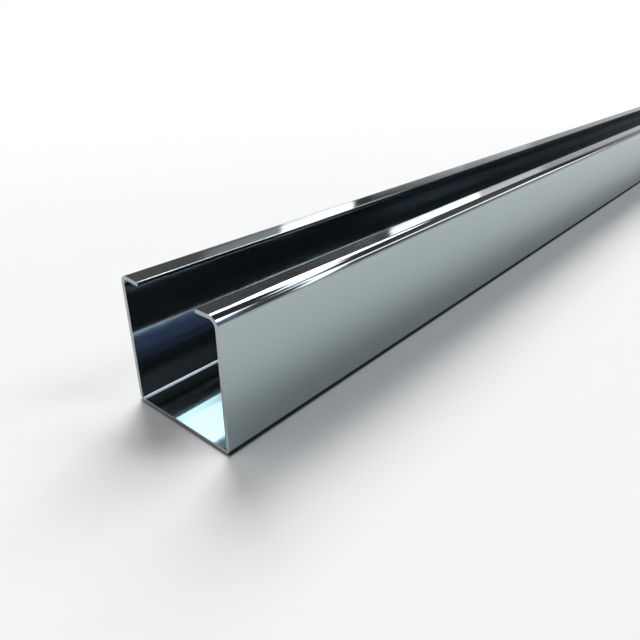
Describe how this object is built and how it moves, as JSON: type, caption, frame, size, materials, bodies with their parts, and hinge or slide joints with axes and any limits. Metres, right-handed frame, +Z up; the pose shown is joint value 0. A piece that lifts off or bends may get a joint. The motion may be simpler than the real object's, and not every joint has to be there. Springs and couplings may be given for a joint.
{
  "type": "steel stud",
  "caption": "Cold-rolled steel C-section stud with inward lips along its open side, for framing partition and wall panels.",
  "frame": {"origin": "on the floor under the middle of the web, at mid length", "axes": "+X across the web, +Y along the stud, +Z up the flanges towards the open side; -Z out of the web's outer face"},
  "size_m": [0.0488, 2.4, 0.05],
  "materials": {
    "galvanised_steel": "smooth rolled zinc, semi-gloss"
  },
  "bodies": {
    "root": {"stud": "galvanised_steel"}
  },
  "joints": []
}
